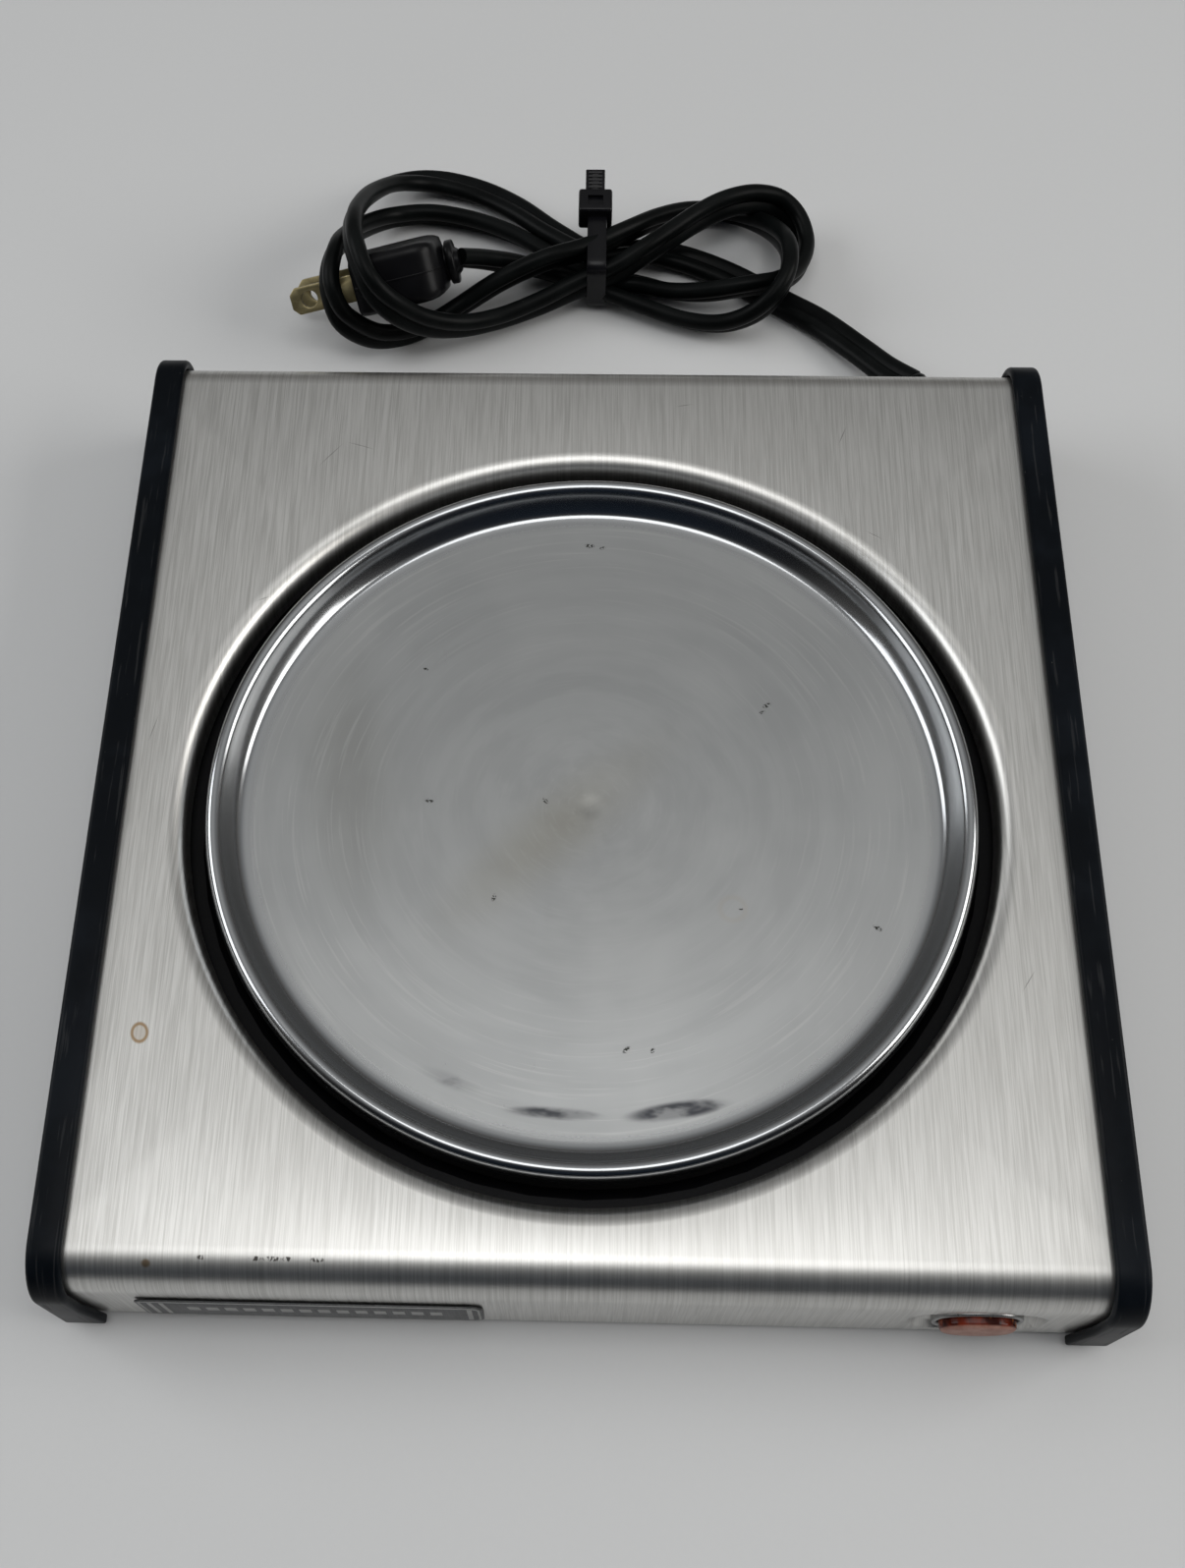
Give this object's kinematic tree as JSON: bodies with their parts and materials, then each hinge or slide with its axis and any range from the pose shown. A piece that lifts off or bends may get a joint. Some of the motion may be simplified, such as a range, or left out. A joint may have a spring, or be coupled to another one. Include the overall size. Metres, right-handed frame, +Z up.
{
  "type": "electric buffet server",
  "caption": "Low square electric table warmer with a round hot plate, brushed metal case, black end caps, lighted push switch and tied flat lead.",
  "frame": {"origin": "on the table, under the middle of the case", "axes": "+Z up, front with the switch towards -Y, +X to the right as seen from the front"},
  "size_m": [0.2, 0.298, 0.0335],
  "materials": {
    "brushed_steel": "stainless sheet, brushed front to back, light scratches",
    "black_plastic": "moulded black phenolic, satin",
    "zinc_steel": "zinc plated steel",
    "grey_rubber": "dark soft rubber",
    "satin_plate": "spun and polished, with circular wear and faint heat stains",
    "black_ceramic": "pressed heat-resistant fibre",
    "black_enamel": "black enamel",
    "element_sheath": "heat-tinted metal sheath",
    "brown_phenolic": "moulded brown phenolic",
    "white_sleeve": "glass-fibre sleeve",
    "amber_lens": "translucent amber-red lens, frosted front",
    "bright_trim": "polished trim",
    "switch_plastic": "moulded black",
    "clear_glass": "clear glass",
    "brass": "dull brass",
    "grey_print": "dark grey print on metal foil, light lines",
    "white_ceramic": "glazed ceramic",
    "black_wire": "black insulation",
    "white_wire": "white heat-resistant insulation",
    "black_rubber": "black flat two-core heater lead, matt with a soft sheen",
    "plug_rubber": "moulded black plug, satin",
    "black_nylon": "black nylon"
  },
  "bodies": {
    "housing": {"casing_wrap": "brushed_steel", "end_cap_left": "black_plastic", "end_cap_right": "black_plastic", "base_plate": "zinc_steel", "foot_front_left": "grey_rubber", "foot_front_right": "grey_rubber", "foot_back_left": "grey_rubber", "foot_back_right": "grey_rubber", "base_screw_front_left": "zinc_steel", "base_screw_front_right": "zinc_steel", "base_screw_back_left": "zinc_steel", "base_screw_back_right": "zinc_steel", "warming_plate": "satin_plate", "insulating_ring": "black_ceramic", "reflector_pan": "black_enamel", "heating_element": "element_sheath", "element_clamp": "zinc_steel", "plate_stud": "zinc_steel", "stud_spacer": "zinc_steel", "spring_washer": "zinc_steel", "plate_nut": "zinc_steel", "thermostat": "brown_phenolic", "thermostat_strap": "zinc_steel", "thermal_fuse": "white_sleeve", "switch_collar": "bright_trim", "switch_body": "switch_plastic", "button_spring": "zinc_steel", "neon_lamp": "clear_glass", "switch_terminal_line": "brass", "switch_terminal_load": "brass", "nameplate": "grey_print", "terminal_block": "white_ceramic", "lead_switch": "black_wire", "lead_element": "white_wire", "lead_return": "white_wire", "strain_relief": "black_rubber", "power_cord": "black_rubber", "cord_hank_right": "black_rubber", "cord_hank_left": "black_rubber", "plug_body": "plug_rubber", "plug_blade_near": "brass", "plug_blade_far": "brass", "cable_tie": "black_nylon"},
    "button": {"power_button": "amber_lens"}
  },
  "joints": [
    {"name": "button_press", "type": "slide", "parent": "housing", "child": "button", "axis": [0, 1, 0], "range_m": [0, 0.0018], "stiffness_N_per_m": 1200, "springref_m": -0.0006, "deforming": ["button_spring"]}
  ]
}
